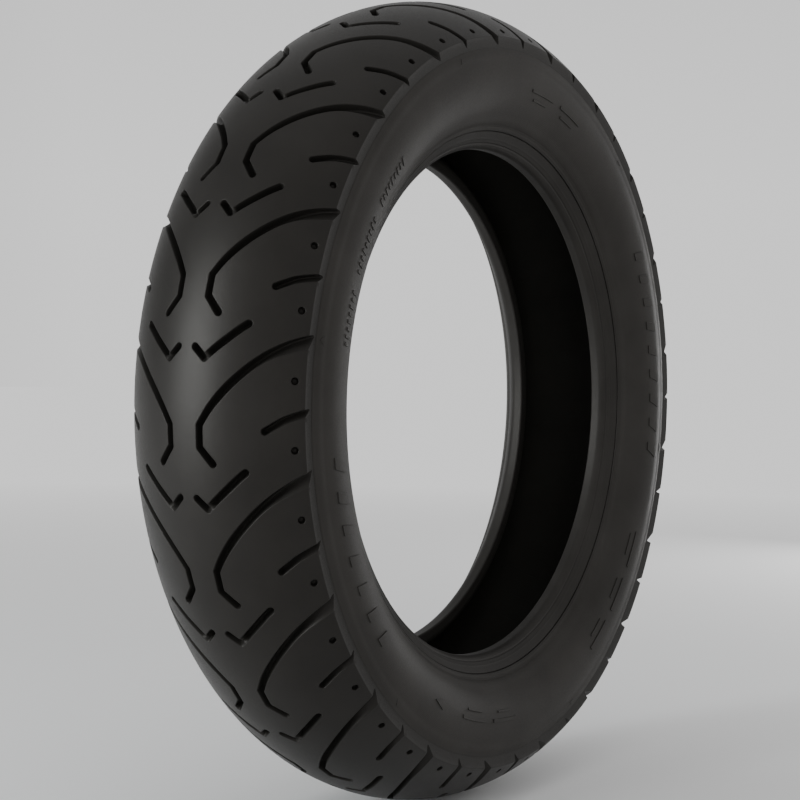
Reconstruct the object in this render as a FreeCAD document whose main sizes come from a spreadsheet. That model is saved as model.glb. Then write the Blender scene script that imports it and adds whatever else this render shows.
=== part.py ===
"""Motorcycle rear tyre, 150/80-16 class, built layer by layer as it is made: beads, plies,
breakers, tread and sidewalls.  Millimetres.  The spin axis is +Y, +Z is up, the origin is
the centre of the wheel plane, and the tread runs forwards to +X."""

import FreeCAD, Part
import math
import os
import Sketcher

PITCHES = 20
WIRE_ROWS = 1
SIDES = {"left": 1, "right": -1}

# Driving dimensions of the section (y across the tyre, r out from the spin axis).
SIZES = {
    "outer_radius": 321.0,
    "crown_arc": 98.8,
    "edge_angle": 48.8,
    "shoulder_drop": 8.8,
    "shoulder_tuck": 1.2,
    "shoulder_joint": 58.0,
    "sidewall_arc": 50.3,
    "wall_foot_half": 59.3,
    "wall_foot_radius": 220.2,
    "groove_depth": 6.5,
    "cap_gauge": 7.5,
    "base_gauge": 2.0,
    "breaker_gauge": 1.3,
    "outer_breaker_angle": 36.0,
    "inner_breaker_angle": 40.0,
    "cushion_angle": 46.0,
    "cushion_edge": 1.0,
    "ply_gauge": 1.1,
    "liner_gauge": 1.2,
    "flank_arc": 34.2,
    "flank_angle": 48.45,
    "run_angle": 138.15,
    "turnup_angle": 30.0,
    "turnup_low": 12.0,
    "turnup_high": 19.0,
    "strip_joint": 12.5,
    "chafer_gauge": 0.6,
    "chafer_reach": 10.0,
    "seat_radius": 202.8,
    "heel_round": 7.2,
    "face_angle": 37.1,
    "face_length": 15.6,
    "toe_chamfer": 1.0,
    "core_round": 3.0,
    "tape_gauge": 0.4,
    "wire_pitch": 1.65,
    "wire_radius": 0.78,
    "rib_height": 0.6,
    "rib_foot": 1.6,
    "rib_top": 0.8,
    "dimple_radius": 2.5,
    "dimple_depth": 4.0,
    "dimple_angle": 44.7,
    "cutter_angle": 62.0,
    "cutter_width": 12.0,
    "cutter_height": 5.0,
}

# Fine moulded rings on the bead face: distance up the face, and +1 raised or -1 sunk.
FACE_RINGS = [(4.2, 1), (8.6, 1), (13.2, -1)]

# Groove centre lines over one pitch: (arc across from the centre line, fraction of a pitch).
# A run of three points is an arc through its middle point, a run of two is straight.
LONG_GROOVE = [[(90.0, 0.470), (40.0, 0.170), (12.4, -0.158)],
               [(12.4, -0.158), (12.2, -0.300)],
               [(12.2, -0.300), (21.4, -0.396)]]
CHECK_GROOVE = [[(7.0, 0.352), (14.4, 0.284)],
                [(14.4, 0.284), (29.0, 0.402), (43.6, 0.508)]]
SHORT_GROOVE = [[(58.0, -0.194), (73.0, -0.116), (92.0, -0.060)]]
DIMPLES = [0.153, -0.340]
GROOVE_WIDTH = 5.0
SEAM_TURN = 0.5583


class Dim:
    """A size kept as its value and as the expression that ties it to the dimension sheet."""

    def __init__(self, value, text):
        self.value = value
        self.text = text

    def __add__(self, other):
        other = as_dim(other)
        return Dim(self.value + other.value, f"({self.text} + {other.text})")

    def __sub__(self, other):
        other = as_dim(other)
        return Dim(self.value - other.value, f"({self.text} - {other.text})")

    def __mul__(self, other):
        other = as_dim(other)
        return Dim(self.value * other.value, f"({self.text} * {other.text})")

    def __truediv__(self, other):
        other = as_dim(other)
        return Dim(self.value / other.value, f"({self.text} / {other.text})")

    def __neg__(self):
        return self * -1

    def sin(self):
        return Dim(math.sin(math.radians(self.value)), f"sin({self.text})")

    def cos(self):
        return Dim(math.cos(math.radians(self.value)), f"cos({self.text})")


def as_dim(value):
    return value if isinstance(value, Dim) else Dim(value, f"({value})")


def size(name):
    return Dim(SIZES[name], "Sizes." + name)


def polar(centre, radius, angle):
    """Point at an angle from the outward radial direction, turning towards the side."""
    return (centre[0] + as_dim(radius) * angle.sin(), centre[1] + as_dim(radius) * angle.cos())


def mirror(point, side):
    return (point[0] * side, point[1])


# ---------------------------------------------------------------- section geometry

ZERO = Dim(0.0, "0")
CROWN = (ZERO, size("outer_radius") - size("crown_arc"))
CAP_IN = size("crown_arc") - size("cap_gauge")
BASE_IN = CAP_IN - size("base_gauge")
BREAKER_MID = BASE_IN - size("breaker_gauge")
CARCASS = BREAKER_MID - size("breaker_gauge")
FLANK = polar(CROWN, CARCASS - size("flank_arc"), size("flank_angle"))
RUN = size("run_angle")
TURN = size("turnup_angle")
CORE_R = size("seat_radius") + size("heel_round")
RUN_START = polar(FLANK, size("flank_arc") + size("core_round"), RUN)
RUN_LENGTH = (RUN_START[1] - CORE_R) / RUN.sin()
CORE = (RUN_START[0] + RUN_LENGTH * RUN.cos(), CORE_R)


def beside_core(offset):
    """Where a layer leaves the bead core for the sidewall, on the cavity side of the core."""
    reach = size("core_round") + offset
    return (CORE[0] - reach * RUN.sin(), CORE[1] - reach * RUN.cos())


def below_core(reach):
    return (CORE[0], CORE[1] - reach)


def inside_core(reach):
    return (CORE[0] - reach, CORE[1])


def turnup(offset, height):
    """Point on the turned-up side of the bead: offset out from the core, height up the side."""
    reach = size("core_round") + offset
    return (CORE[0] + reach * TURN.cos() + as_dim(height) * TURN.sin(),
            CORE[1] - reach * TURN.sin() + as_dim(height) * TURN.cos())


def face(height, lift=0.0):
    """Point on the outer face of the bead, above the heel round."""
    angle = size("face_angle")
    reach = size("heel_round") + lift
    return (CORE[0] + reach * angle.cos() + as_dim(height) * angle.sin(),
            CORE[1] - reach * angle.sin() + as_dim(height) * angle.cos())


def tread_edge():
    return polar(CROWN, size("crown_arc"), size("edge_angle"))


def shoulder_foot():
    edge = tread_edge()
    return (edge[0] - size("shoulder_tuck"), edge[1] - size("shoulder_drop"))


def on_flank(offset, angle=None):
    return polar(FLANK, size("flank_arc") - offset, size("flank_angle") if angle is None else angle)


def layer_half(offset, ending):
    """One face of a carcass layer, from the crown joint down to the bead; 'ending' adds the
    wrap round the core.  Each entry is (point, radius of the arc leading to it or None)."""
    arc = size("flank_arc") - offset
    wrap = size("core_round") + offset
    steps = [(on_flank(offset), CARCASS - offset),
             (on_flank(offset, RUN), arc),
             (beside_core(offset), None)]
    if ending is None:
        steps.append((inside_core(wrap), -wrap))
    else:
        steps.append((below_core(wrap), -wrap))
        steps.append((turnup(offset, 0.0), -wrap))
        steps.append((turnup(offset, ending), None))
    return steps


# ---------------------------------------------------------------- sketch helpers

def bulge_centre(start, end, radius):
    """Centre of the short arc from start to end; a positive radius curves clockwise."""
    mid_x, mid_y = (start[0] + end[0]) / 2, (start[1] + end[1]) / 2
    dx, dy = end[0] - start[0], end[1] - start[1]
    chord = math.hypot(dx, dy)
    rise = math.sqrt(max(radius * radius - chord * chord / 4, 0.0))
    turn = 1 if radius > 0 else -1
    return (mid_x + turn * rise * dy / chord, mid_y - turn * rise * dx / chord)


def add_edge(sketch, start, end, radius):
    """Adds a line or arc and returns its index and which of its ends is the start."""
    if radius is None:
        line = Part.LineSegment(FreeCAD.Vector(*start, 0), FreeCAD.Vector(*end, 0))
        return sketch.addGeometry(line), 1
    centre = bulge_centre(start, end, radius)
    first = math.atan2(start[1] - centre[1], start[0] - centre[0])
    last = math.atan2(end[1] - centre[1], end[0] - centre[0])
    clockwise = radius > 0
    if clockwise:
        first, last = last, first
    circle = Part.Circle(FreeCAD.Vector(*centre, 0), FreeCAD.Vector(0, 0, 1), abs(radius))
    return sketch.addGeometry(Part.ArcOfCircle(circle, first, last)), 2 if clockwise else 1


def bind(sketch, constraint, name, dim):
    index = sketch.addConstraint(constraint)
    sketch.renameConstraint(index, name)
    sketch.setExpression("Constraints." + name, dim.text)


def draw_loop(sketch, loop):
    """Draws a closed loop of ((y, r), radius leading to the point) with every corner and
    radius driven by the sheet."""
    edges = []
    count = len(loop)
    for i in range(count):
        start = tuple(d.value for d in loop[i - 1][0])
        end = tuple(d.value for d in loop[i][0])
        radius = loop[i][1]
        edges.append(add_edge(sketch, start, end, None if radius is None else radius.value))
    for i in range(count):
        here, there = edges[i], edges[(i + 1) % count]
        sketch.addConstraint(Sketcher.Constraint("Coincident", here[0], 3 - here[1],
                                                 there[0], there[1]))
    for i in range(count):
        index, first = edges[i]
        y, r = loop[i - 1][0]
        bind(sketch, Sketcher.Constraint("DistanceX", -1, 1, index, first, y.value),
             f"across{index}", y)
        bind(sketch, Sketcher.Constraint("DistanceY", -1, 1, index, first, r.value),
             f"height{index}", r)
        radius = loop[i][1]
        if radius is not None:
            span = radius if radius.value > 0 else -radius
            bind(sketch, Sketcher.Constraint("Radius", index, span.value), f"arc{index}", span)


def plane_of(body, role):
    return next(f for f in body.Origin.OriginFeatures if f.Role == role)


def ring(doc, label, loop, sweep=360.0):
    """Solid of revolution about the spin axis from a closed half-section."""
    body = doc.addObject("PartDesign::Body", label)
    body.Label = label
    sketch = body.newObject("Sketcher::SketchObject", label + "_section")
    sketch.AttachmentSupport = [(plane_of(body, "YZ_Plane"), "")]
    sketch.MapMode = "FlatFace"
    draw_loop(sketch, loop)
    turn = body.newObject("PartDesign::Revolution", label + "_turn")
    turn.Profile = sketch
    turn.ReferenceAxis = (sketch, ["H_Axis"])
    turn.Angle = sweep
    body.Tip = turn
    return body


def side_loop(loop, side):
    """A loop drawn on the left of the tyre, or its mirror image for the right."""
    if side > 0:
        return loop
    points = [mirror(p, -1) for p, _ in loop]
    radii = [r for _, r in loop]
    flipped = []
    count = len(loop)
    for i in range(count):
        radius = radii[i]
        flipped.append((points[i], None if radius is None else -radius))
    return flipped


def both_sides(outer, inner, crown_outer, crown_inner):
    """Closed loop of a layer that crosses the crown, from its two faces on one side."""
    loop = [(outer[0][0], crown_outer)]
    loop += outer[1:]
    loop += [(inner[-1][0], None)]
    for i in range(len(inner) - 1, 0, -1):
        radius = inner[i][1]
        loop.append((inner[i - 1][0], None if radius is None else -radius))
    loop.append((mirror(inner[0][0], -1), -crown_inner))
    for point, radius in inner[1:]:
        loop.append((mirror(point, -1), None if radius is None else -radius))
    loop.append((mirror(outer[-1][0], -1), None))
    for i in range(len(outer) - 1, 0, -1):
        loop.append((mirror(outer[i - 1][0], -1), outer[i][1]))
    return loop


# ---------------------------------------------------------------- crown parts

def crown_band(doc, label, outer, inner, angle):
    """Band of even gauge lying across the crown out to an angle on each side."""
    top = polar(CROWN, outer, angle)
    foot = polar(CROWN, inner, angle)
    loop = [(top, outer), (foot, None), (mirror(foot, -1), -inner), (mirror(top, -1), None)]
    return ring(doc, label, loop)


def tread_blank(doc):
    edge, shoulder = tread_edge(), shoulder_foot()
    heel = on_flank(-size("cushion_edge"), size("shoulder_joint"))
    joint = polar(CROWN, CAP_IN, size("cushion_angle"))
    side = [(shoulder, None), (heel, None), (joint, None)]
    loop = [(edge, size("crown_arc"))] + side
    loop.append((mirror(joint, -1), -CAP_IN))
    loop += [(mirror(heel, -1), None), (mirror(shoulder, -1), None), (mirror(edge, -1), None)]
    blank = ring(doc, "tread_blank", loop, 360.0 / PITCHES)
    blank.Placement = FreeCAD.Placement(FreeCAD.Vector(), FreeCAD.Rotation(
        FreeCAD.Vector(0, 1, 0), -360.0 * SEAM_TURN / PITCHES))
    return blank


def tread_base(doc):
    """Undertread: covers the outer breaker and steps down round both breaker edges."""
    edge = size("inner_breaker_angle")
    inner_edge = size("outer_breaker_angle")
    side = [(polar(CROWN, BREAKER_MID, edge), None),
            (polar(CROWN, BREAKER_MID, inner_edge), -BREAKER_MID),
            (polar(CROWN, BASE_IN, inner_edge), None)]
    loop = [(polar(CROWN, CAP_IN, edge), CAP_IN)] + side
    loop.append((mirror(side[-1][0], -1), -BASE_IN))
    loop.append((mirror(side[1][0], -1), None))
    loop.append((mirror(side[0][0], -1), -BREAKER_MID))
    loop.append((mirror(loop[0][0], -1), None))
    return ring(doc, "tread_base", loop)


def cushion(doc, name, side):
    """Gum wedge that carries the breaker edge down onto the carcass at the shoulder."""
    edge = size("inner_breaker_angle")
    joint = size("shoulder_joint")
    loop = [(polar(CROWN, CAP_IN, size("cushion_angle")), CAP_IN),
            (on_flank(-size("cushion_edge"), joint), None),
            (on_flank(ZERO, joint), None),
            (on_flank(ZERO), -size("flank_arc")),
            (polar(CROWN, CARCASS, edge), -CARCASS),
            (polar(CROWN, CAP_IN, edge), None)]
    return ring(doc, "shoulder_cushion_" + name, side_loop(loop, side))


# ---------------------------------------------------------------- carcass and beads

def carcass_layer(doc, label, offset, gauge, ending):
    under = offset + gauge
    outer = layer_half(offset, ending)
    inner = layer_half(under, ending)
    loop = both_sides(outer, inner, CARCASS - offset, CARCASS - under)
    return ring(doc, label, loop)


def apex(doc, name, side):
    gap = size("ply_gauge")
    lean = RUN - TURN
    reach = size("core_round") + gap
    tip_height = (size("core_round") + reach * lean.sin()) / -lean.cos()
    core = size("core_round")
    loop = [(turnup(gap, tip_height), None),
            (turnup(gap, size("turnup_low")), None),
            (turnup(ZERO, size("turnup_low")), None),
            (turnup(ZERO, 0.0), None),
            (beside_core(ZERO), -core)]
    return ring(doc, "bead_apex_" + name, side_loop(loop, side))


def chafer(doc, name, side):
    near = size("ply_gauge") * 2
    far = near + size("chafer_gauge")
    reach_near = size("core_round") + near
    reach_far = size("core_round") + far
    top = size("chafer_reach")
    loop = [(inside_core(reach_far), None),
            (below_core(reach_far), -reach_far),
            (turnup(far, 0.0), -reach_far),
            (turnup(far, top), None),
            (turnup(near, top), None),
            (turnup(near, 0.0), None),
            (below_core(reach_near), reach_near),
            (inside_core(reach_near), reach_near)]
    return ring(doc, "chafer_" + name, side_loop(loop, side))


def face_rings():
    """Corners of the fine moulded rings up the bead face."""
    steps = []
    slope = (size("rib_foot") - size("rib_top")) / 2
    for height, sense in FACE_RINGS:
        foot = as_dim(height)
        lift = size("rib_height") * sense
        steps.append((face(foot), None))
        steps.append((face(foot + slope, lift), None))
        steps.append((face(foot + slope + size("rib_top"), lift), None))
        steps.append((face(foot + size("rib_foot")), None))
    return steps


def rim_strip(doc, name, side):
    """Hard rubber round the toe, seat and heel, where the tyre sits on the rim."""
    ply = size("ply_gauge") * 2
    skin = ply + size("chafer_gauge")
    inner = size("core_round") + skin
    toe = size("core_round") + ply + size("liner_gauge")
    seat = size("seat_radius")
    bevel = size("toe_chamfer")
    loop = [(inside_core(toe), None),
            ((CORE[0] - toe, seat + bevel), None),
            ((CORE[0] - toe + bevel, seat), None),
            ((CORE[0], seat), None),
            (face(0.0), -size("heel_round"))]
    loop += face_rings()
    loop += [(face(size("face_length")), None),
             (turnup(ply, size("strip_joint")), None),
             (turnup(ply, size("chafer_reach")), None),
             (turnup(skin, size("chafer_reach")), None),
             (turnup(skin, 0.0), None),
             (below_core(inner), inner),
             (inside_core(inner), inner)]
    return ring(doc, "rim_strip_" + name, side_loop(loop, side))


def sidewall(doc, name, side):
    ply = size("ply_gauge")
    lean = RUN - TURN
    reach = size("core_round") + ply
    tip_height = (size("core_round") + reach * lean.sin()) / -lean.cos()
    loop = [((size("wall_foot_half"), size("wall_foot_radius")), size("sidewall_arc")),
            (face(size("face_length")), None),
            (turnup(ply * 2, size("strip_joint")), None),
            (turnup(ply * 2, size("turnup_high")), None),
            (turnup(ply, size("turnup_high")), None),
            (turnup(ply, tip_height), None),
            (on_flank(ZERO, RUN), None),
            (on_flank(ZERO, size("shoulder_joint")), -size("flank_arc")),
            (shoulder_foot(), None)]
    return ring(doc, "sidewall_" + name, side_loop(loop, side))


def core_ring(doc, label, outer, inner, side):
    """Round-section ring on the bead core centre line, hollow when an inner radius is given."""
    centre = (CORE[0] * side, CORE[1])
    body = doc.addObject("PartDesign::Body", label)
    body.Label = label
    sketch = body.newObject("Sketcher::SketchObject", label + "_section")
    sketch.AttachmentSupport = [(plane_of(body, "YZ_Plane"), "")]
    sketch.MapMode = "FlatFace"
    for radius in [outer] + ([inner] if inner is not None else []):
        spot = FreeCAD.Vector(centre[0].value, centre[1].value, 0)
        index = sketch.addGeometry(Part.Circle(spot, FreeCAD.Vector(0, 0, 1), radius.value))
        bind(sketch, Sketcher.Constraint("DistanceX", -1, 1, index, 3, centre[0].value),
             f"across{index}", centre[0])
        bind(sketch, Sketcher.Constraint("DistanceY", -1, 1, index, 3, centre[1].value),
             f"height{index}", centre[1])
        bind(sketch, Sketcher.Constraint("Radius", index, radius.value), f"round{index}", radius)
    turn = body.newObject("PartDesign::Revolution", label + "_turn")
    turn.Profile = sketch
    turn.ReferenceAxis = (sketch, ["H_Axis"])
    turn.Angle = 360
    body.Tip = turn
    return body


def wire_spots():
    """Hexagonal packing of the bead wires: steps across and out, in wire pitches."""
    spots = []
    for row in range(-WIRE_ROWS, WIRE_ROWS + 1):
        wires = 2 * WIRE_ROWS + 1 - abs(row)
        for i in range(wires):
            spots.append((i - (wires - 1) / 2, row * math.sqrt(3) / 2))
    return spots


def bead_core(doc, name, side):
    """Round bundle of steel wires, each wire a closed hoop."""
    hoops = []
    for number, (across, out) in enumerate(wire_spots()):
        hoop = doc.addObject("Part::Torus", f"wire_{name}_{number:02d}")
        pitch = size("wire_pitch")
        big = CORE[1] + pitch * out
        offset = CORE[0] * side + pitch * across
        hoop.Placement = FreeCAD.Placement(FreeCAD.Vector(0, offset.value, 0),
                                           FreeCAD.Rotation(FreeCAD.Vector(1, 0, 0), 90))
        hoop.setExpression("Radius1", big.text + " * 1 mm")
        hoop.setExpression("Radius2", size("wire_radius").text + " * 1 mm")
        hoop.setExpression(".Placement.Base.y", offset.text + " * 1 mm")
        hoops.append(hoop)
    bundle = doc.addObject("Part::Compound", "bead_core_" + name)
    bundle.Label = "bead_core_" + name
    bundle.Links = hoops
    return bundle


def bead_gum(doc, name, side, bundle):
    """Insulation rubber moulded round the wires."""
    blank = core_ring(doc, "bead_gum_blank_" + name,
                      size("core_round") - size("tape_gauge"), None, side)
    gum = doc.addObject("Part::Cut", "bead_gum_" + name)
    gum.Label = "bead_gum_" + name
    gum.Base = blank
    gum.Tool = bundle
    return gum


# ---------------------------------------------------------------- tread pattern

def crown_spot(arc, turn, lift=0.0):
    """Point on the tread, seen square on to the top of the tyre: x forwards, y across."""
    lean = arc / SIZES["crown_arc"]
    across = SIZES["crown_arc"] * math.sin(lean)
    out = SIZES["outer_radius"] - SIZES["crown_arc"] * (1 - math.cos(lean)) + lift
    swing = 2 * math.pi * turn / PITCHES
    return FreeCAD.Vector(-out * math.sin(swing), across, out * math.cos(swing))


def groove_outline(runs, side):
    """Closed flat outline of a groove: its centre line widened, with round ends."""
    edges = []
    for run in runs:
        spots = [crown_spot(arc, turn) for arc, turn in run]
        path = [FreeCAD.Vector(p.x, p.y * side, 0) for p in spots]
        if len(path) == 3:
            edges.append(Part.Arc(*path).toShape())
        else:
            edges.append(Part.makeLine(*path))
    outline = Part.Wire(edges).makeOffset2D(GROOVE_WIDTH / 2, 0, False, False)
    return Part.Face(outline)


def groove_prisms():
    """All the grooves of one pitch as upright prisms standing through the crown."""
    height = FreeCAD.Vector(0, 0, SIZES["outer_radius"] + SIZES["cutter_height"])
    return [groove_outline(runs, side).extrude(height)
            for side in SIDES.values()
            for runs in (LONG_GROOVE, CHECK_GROOVE, SHORT_GROOVE)]


def dimples():
    """Small round wear-check holes near the tread edge, square to the surface."""
    depth = SIZES["dimple_depth"]
    lean = math.radians(SIZES["dimple_angle"])
    pins = []
    for side in SIDES.values():
        for turn in DIMPLES:
            arc = lean * SIZES["crown_arc"]
            swing = 2 * math.pi * turn / PITCHES
            spot = crown_spot(arc, turn)
            spot.y *= side
            out = FreeCAD.Vector(-math.cos(lean) * math.sin(swing), math.sin(lean) * side,
                                 math.cos(lean) * math.cos(swing))
            pins.append(Part.makeCylinder(SIZES["dimple_radius"], depth + SIZES["cutter_height"],
                                          spot - out * depth, out))
    return pins


def groove_shell(doc):
    """Space between the groove floor and well outside the tread."""
    depth = size("groove_depth")
    floor = (CROWN[0], CROWN[1] - depth)
    foot = polar(floor, size("crown_arc"), size("cutter_angle"))
    rim = (foot[0] + size("cutter_width"), foot[1])
    lid = size("outer_radius") + size("cutter_height")
    loop = [(foot, size("crown_arc")), (rim, None), ((rim[0], lid), None),
            ((-rim[0], lid), None), (mirror(rim, -1), None), (mirror(foot, -1), None)]
    return ring(doc, "groove_shell", loop)


def on_seam(face):
    """True for the flat faces where one pitch of the tread meets the next."""
    flat = face.Surface.TypeId == "Part::GeomPlane"
    return flat and abs(face.Surface.Axis.y) < 1e-6 and all(
        abs(v.Point.dot(face.Surface.Axis)) < 1e-4 for v in face.Vertexes)


def tread_cap(doc, blank, shell):
    """Tread cap: the pattern is cut into one pitch, which is repeated round the tyre and
    sewn into a single solid."""
    doc.recompute()
    pitch = blank.Shape
    for tool in [prism.common(shell.Shape) for prism in groove_prisms()] + dimples():
        pitch = pitch.cut(tool)
    skins = [face for face in pitch.Faces if not on_seam(face)]
    centre, axle = FreeCAD.Vector(), FreeCAD.Vector(0, 1, 0)
    faces = [face.rotated(centre, axle, 360.0 * turn / PITCHES)
             for turn in range(PITCHES) for face in skins]
    shell = Part.makeShell(faces)
    shell.sewShape()
    cap = doc.addObject("Part::Feature", "tread_cap")
    cap.Label = "tread_cap"
    cap.Shape = Part.makeSolid(shell)
    return cap


# ---------------------------------------------------------------- assembly

def build(doc):
    ply = size("ply_gauge")
    nodes = [
        tread_cap(doc, tread_blank(doc), groove_shell(doc)),
        tread_base(doc),
        crown_band(doc, "breaker_outer", BASE_IN, BREAKER_MID, size("outer_breaker_angle")),
        crown_band(doc, "breaker_inner", BREAKER_MID, CARCASS, size("inner_breaker_angle")),
        carcass_layer(doc, "carcass_ply_outer", ZERO, ply, size("turnup_low")),
        carcass_layer(doc, "carcass_ply_inner", ply, ply, size("turnup_high")),
        carcass_layer(doc, "inner_liner", ply * 2, size("liner_gauge"), None),
    ]
    for name, side in SIDES.items():
        bundle = bead_core(doc, name, side)
        nodes += [
            cushion(doc, name, side),
            sidewall(doc, name, side),
            apex(doc, name, side),
            chafer(doc, name, side),
            rim_strip(doc, name, side),
            bundle,
            bead_gum(doc, name, side, bundle),
            core_ring(doc, "bead_wrap_" + name, size("core_round"),
                      size("core_round") - size("tape_gauge"), side),
        ]
    return nodes


def check(doc, nodes):
    for item in doc.Objects:
        if "Invalid" in item.State or "Error" in item.State:
            raise RuntimeError(f"{item.Name} did not compute: {item.State}")
    for node in nodes:
        if node.Shape.isNull() or not node.Shape.isValid():
            raise RuntimeError(f"{node.Label} has no valid shape")


def main():
    doc = FreeCAD.newDocument("tyre")
    sheet = doc.addObject("Spreadsheet::Sheet", "Sizes")
    for row, (name, value) in enumerate(SIZES.items(), start=1):
        sheet.set(f"A{row}", name)
        sheet.set(f"B{row}", str(value))
        sheet.setAlias(f"B{row}", name)
    doc.recompute()
    nodes = build(doc)
    doc.recompute()
    check(doc, nodes)
    os.makedirs("parts", exist_ok=True)
    for node in nodes:
        node.Shape.exportStep(f"parts/{node.Label}.step")
        print(node.Label, len(node.Shape.Solids), round(node.Shape.Volume / 1000, 1), "cm3")


main()
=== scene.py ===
"""Looks for the motorcycle tyre: detailed rubber over the CAD section, materials, light, camera.
Lengths are millimetres until a mesh is made.  Spin axis Y, Z up, tread running forwards to +X."""

import math

import bpy
import numpy as np
from mathutils import Matrix, Vector
from mathutils.geometry import delaunay_2d_cdt

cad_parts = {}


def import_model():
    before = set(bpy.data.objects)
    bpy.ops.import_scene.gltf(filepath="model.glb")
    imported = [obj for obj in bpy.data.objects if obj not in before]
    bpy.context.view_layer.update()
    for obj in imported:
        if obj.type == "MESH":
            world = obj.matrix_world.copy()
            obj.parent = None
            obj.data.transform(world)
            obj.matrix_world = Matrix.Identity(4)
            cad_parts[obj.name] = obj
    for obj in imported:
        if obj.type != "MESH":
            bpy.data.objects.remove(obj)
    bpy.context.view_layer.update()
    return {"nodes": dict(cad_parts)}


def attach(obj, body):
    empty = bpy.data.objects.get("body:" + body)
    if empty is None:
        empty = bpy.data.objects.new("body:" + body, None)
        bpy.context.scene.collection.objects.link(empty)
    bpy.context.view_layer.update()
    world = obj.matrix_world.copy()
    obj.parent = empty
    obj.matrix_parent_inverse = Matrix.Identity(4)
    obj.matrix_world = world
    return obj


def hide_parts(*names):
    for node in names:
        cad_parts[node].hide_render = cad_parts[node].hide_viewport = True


MM = 0.001
PITCHES = 20
LEFT, RIGHT = 1.0, -1.0
WHITE = (1.0, 1.0, 1.0, 1)

# Tyre section as in the CAD part, but with the crown 0.02 mm lower to stay inside it
CROWN_R = 98.8
CROWN_C = 222.18
OUTER_R = 321.0
EDGE = (74.339, 287.279)
FOOT = (73.139, 278.479)
CAP_JOINT = (65.676, 285.622)
CAP_HEEL = (69.141, 275.675)
CAP_IN = 91.3
WALL_FOOT = (59.3, 220.2)
WALL_ARC = 50.3
FACE_TOP = (57.7, 218.099)
CORE = (42.548, 210.0)
FACE_LEAN = 37.1
STRIP_REACH = 7.2
SEAT_R = 202.8
TOE_Y = 36.148
PITCH = 2 * math.pi * OUTER_R / PITCHES

# Tread pattern: (arc across, fraction of a pitch)
LONG_LINE = [(92.5, .497), (84.5, .4583), (77.0, .426), (69.6, .3893), (59.6, .3300), (49.7, .2560),
             (39.8, .1690), (29.8, .0690), (19.9, -.0480), (12.6, -.1570)]
LONG_NECK = (12.4, -.3030)
LONG_END = (21.9, -.4139)
CHECK_START = (6.96, .3570)
CHECK_ELBOW = (14.9, .2830)
CHECK_LINE = [CHECK_ELBOW, (22.5, .3500), (30.8, .4190), (37.8, .4780), (44.0, .5260)]
SHORT_LINE = [(92.0, -.0570), (84.5, -.0760), (72.0, -.1190), (65.0, -.1560), (57.8, -.1990)]
DIMPLES = [(77.08, .153), (77.08, -.340)]
GROOVE_HALF = 2.5
GROOVE_DEPTH = 6.5
LONG_SHOULDER_DEPTH = 4.9
SHORT_SHOULDER_DEPTH = 4.6
RISE_FROM, RISE_TO = 54, 84
TIE_BAR = 4.9
LIP = 0.55
SEAM_IN, SEAM_OUT = -.4580, -.4275
SEAM_FROM, SEAM_TO = 30.0, 37.0
STEP = 4.0
LIP_EDGE, LIP_FOOT = (0.14, 0.10), (0.10, 0.55)
SPINE_SHIFT = 1.2
LEAN_FROM, LEAN_TO = 50, 84
DIMPLE_R, DIMPLE_SIDES = 3.0, 14
DIMPLE_LEVELS = [(DIMPLE_R, 0.0), (2.62, 0.10), (2.5, 0.5), (2.4, 3.2), (1.5, 3.8), (0.0, 4.0)]
CREASE_GAP = 1.3

# Places round the wheel in each turned piece
UNDER_TURNS, WALL_TURNS, BEAD_TURNS, LINER_TURNS = 240, 400, 360, 288


# ---------------------------------------------------------------- small mesh builder

class Shape:
    """Collects vertices with their normals and faces, then makes one mesh object."""

    def __init__(self):
        self.verts, self.normals, self.faces, self.count = [], [], [], 0

    def add(self, verts, faces, normals=None):
        verts = np.asarray(verts, float)
        if normals is None:
            normals = smooth_normals(verts, faces)
        self.verts.append(verts)
        self.normals.append(np.asarray(normals, float))
        self.faces.extend([tuple(i + self.count for i in f) for f in faces])
        self.count += len(verts)

    def mesh(self, name, slot, nodes, material):
        verts = np.vstack(self.verts) * MM
        data = bpy.data.meshes.new(name)
        data.from_pydata(verts.tolist(), [], self.faces)
        data.polygons.foreach_set("use_smooth", [True] * len(data.polygons))
        data.validate()
        normals = np.vstack(self.normals)
        data.normals_split_custom_set_from_vertices(normals.tolist())
        data.materials.append(material)
        data.update()
        obj = bpy.data.objects.new(name, data)
        bpy.context.scene.collection.objects.link(obj)
        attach(obj, "root")
        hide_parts(*nodes)
        return obj


def unit(v):
    v = np.asarray(v, float)
    return v / np.maximum(np.linalg.norm(v, axis=-1, keepdims=True), 1e-12)


def smooth_normals(verts, faces):
    total = np.zeros_like(verts)
    for f in faces:
        a, b, c = verts[f[0]], verts[f[1]], verts[f[2]]
        n = np.cross(b - a, c - a)
        if len(f) == 4:
            n = n + np.cross(c - a, verts[f[3]] - a)
        for i in f:
            total[i] += n
    return unit(total)


def spin(y, r, angle):
    """Point of the wheel from across, radius and turn (radians from +Z towards -X)."""
    y, r, angle = np.broadcast_arrays(y, r, angle)
    return np.stack([-r * np.sin(angle), y, r * np.cos(angle)], -1)


def grid_faces(rows, cols, close_rows=False, close_cols=False, flip=False):
    faces = []
    for i in range(rows if close_rows else rows - 1):
        for j in range(cols if close_cols else cols - 1):
            k, l = (i + 1) % rows, (j + 1) % cols
            f = (i * cols + j, i * cols + l, k * cols + l, k * cols + j)
            faces.append(f[::-1] if flip else f)
    return faces


# ---------------------------------------------------------------- profile pieces

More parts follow.
